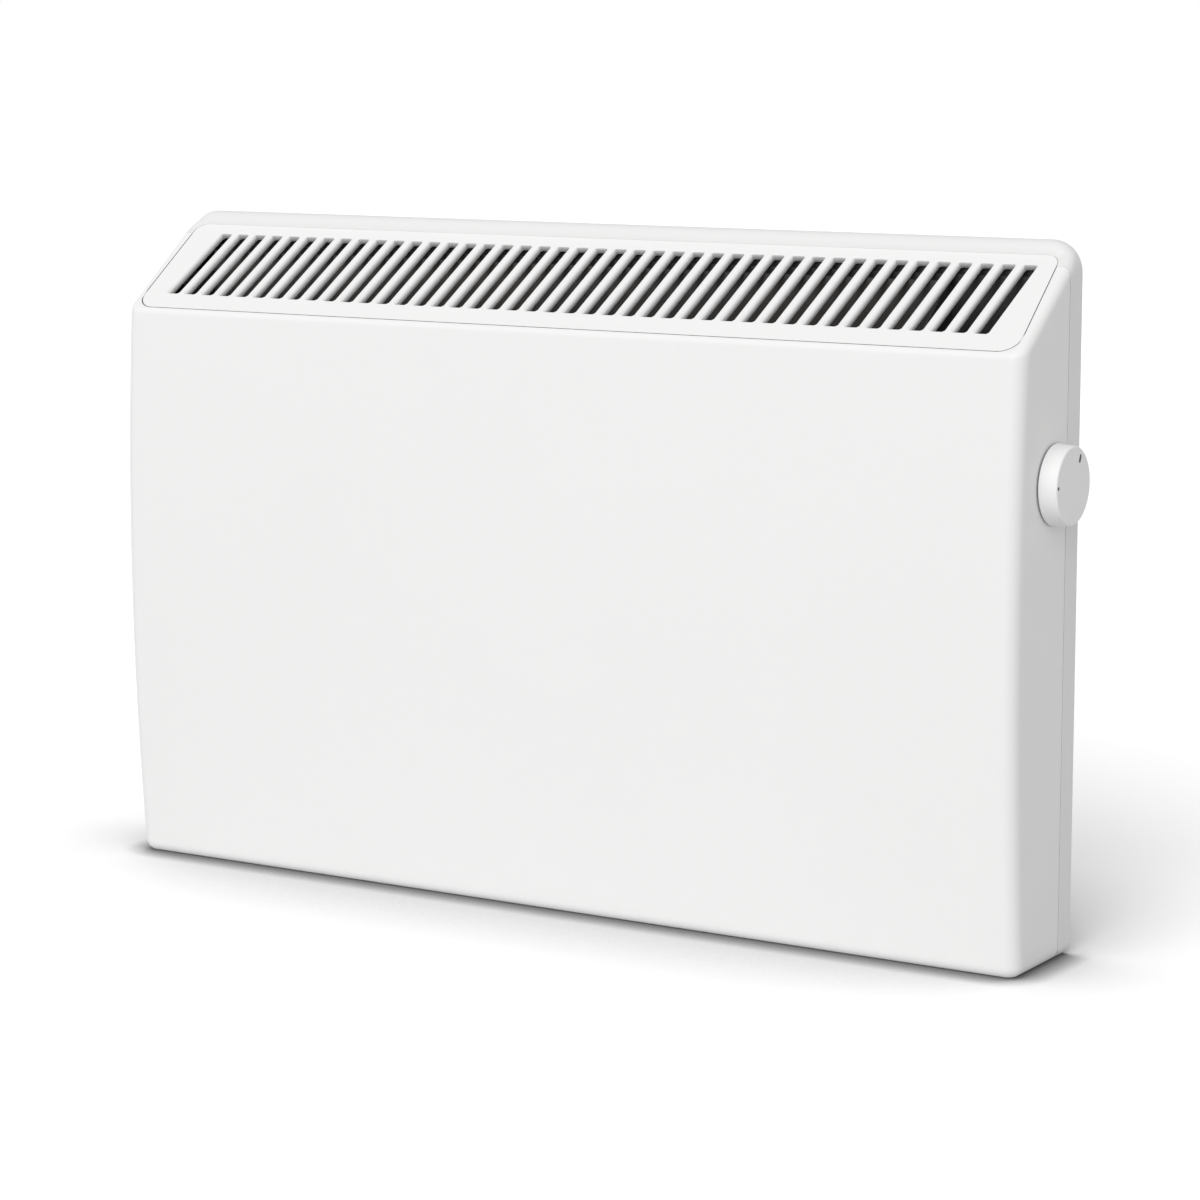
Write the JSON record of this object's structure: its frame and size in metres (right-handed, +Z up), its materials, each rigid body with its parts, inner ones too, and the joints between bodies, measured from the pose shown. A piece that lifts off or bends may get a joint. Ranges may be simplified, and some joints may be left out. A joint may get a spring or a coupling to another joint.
{
  "type": "wall panel convector heater",
  "caption": "Flat wall-mounted convector heater with a bowed front, a sloped slotted outlet grille along the top and a round thermostat knob on its side.",
  "frame": {"origin": "centre of the wall bracket's four screw holes, in the plane of the wall", "axes": "+X along the wall towards the knob's side, +Y into the wall, +Z up"},
  "size_m": [0.7135, 0.0911, 0.46],
  "materials": {
    "cover_paint": "fine satin powder coat, white",
    "grille_plastic": "moulded heat-resistant plastic, satin white",
    "knob_plastic": "moulded plastic, satin white",
    "grey_plastic": "moulded plastic, grey",
    "dark_plastic": "moulded plastic, black",
    "block_plastic": "moulded plastic, off-white",
    "zinc_steel": "zinc-coated sheet steel",
    "black_steel": "black heat-resistant lacquer on sheet steel",
    "spring_steel": "spring steel strip",
    "screw_steel": "bright zinc-plated steel",
    "sheath_steel": "stainless sheath, heat-tinted",
    "fin_aluminium": "extruded aluminium, mill finish",
    "copper": "drawn copper",
    "brass": "turned brass",
    "ceramic": "unglazed ceramic",
    "brown_insulation": "silicone insulation, brown",
    "blue_insulation": "silicone insulation, blue",
    "green_insulation": "silicone insulation, green"
  },
  "bodies": {
    "wall_bracket": {"wall_bracket": "zinc_steel"},
    "heater": {"front_cover": "cover_paint", "back_panel": "cover_paint", "outlet_grille": "grille_plastic", "inlet_grille": "grille_plastic", "thermostat_body": "dark_plastic", "thermostat_bracket": "zinc_steel", "thermostat_screws": "screw_steel", "bracket_screws": "screw_steel", "capillary_tube": "copper", "sensor_bulb": "copper", "sensor_clips": "spring_steel", "element_tube": "sheath_steel", "element_fins": "fin_aluminium", "element_terminals": "screw_steel", "element_insulators": "ceramic", "left_side_plate": "black_steel", "right_side_plate": "black_steel", "plate_screws": "screw_steel", "heat_shield_rear": "black_steel", "heat_shield_front": "black_steel", "shield_screws": "screw_steel", "thermal_cutout": "dark_plastic", "cutout_screws": "screw_steel", "cable_gland": "dark_plastic", "cord_clamp": "dark_plastic", "clamp_screws": "screw_steel", "terminal_block": "block_plastic", "terminal_screws": "brass", "earth_stud": "screw_steel", "earth_tag": "brass", "earth_nut": "brass", "live_lead": "brown_insulation", "switched_lead": "brown_insulation", "element_lead": "brown_insulation", "neutral_lead": "blue_insulation", "earth_lead": "green_insulation", "cover_screws": "screw_steel"},
    "thermostat_control": {"thermostat_knob": "knob_plastic", "thermostat_spindle": "grey_plastic", "knob_spring_clip": "spring_steel"}
  },
  "joints": [
    {"name": "lift_off", "type": "slide", "parent": "wall_bracket", "child": "heater", "axis": [0, 0, 1], "range_m": [0, 0.012]},
    {"name": "knob_turn", "type": "hinge", "parent": "heater", "child": "thermostat_control", "pos_m": [0.35, -0.037, 0.07], "axis": [1, 0, 0], "range_deg": [0, 270]}
  ]
}
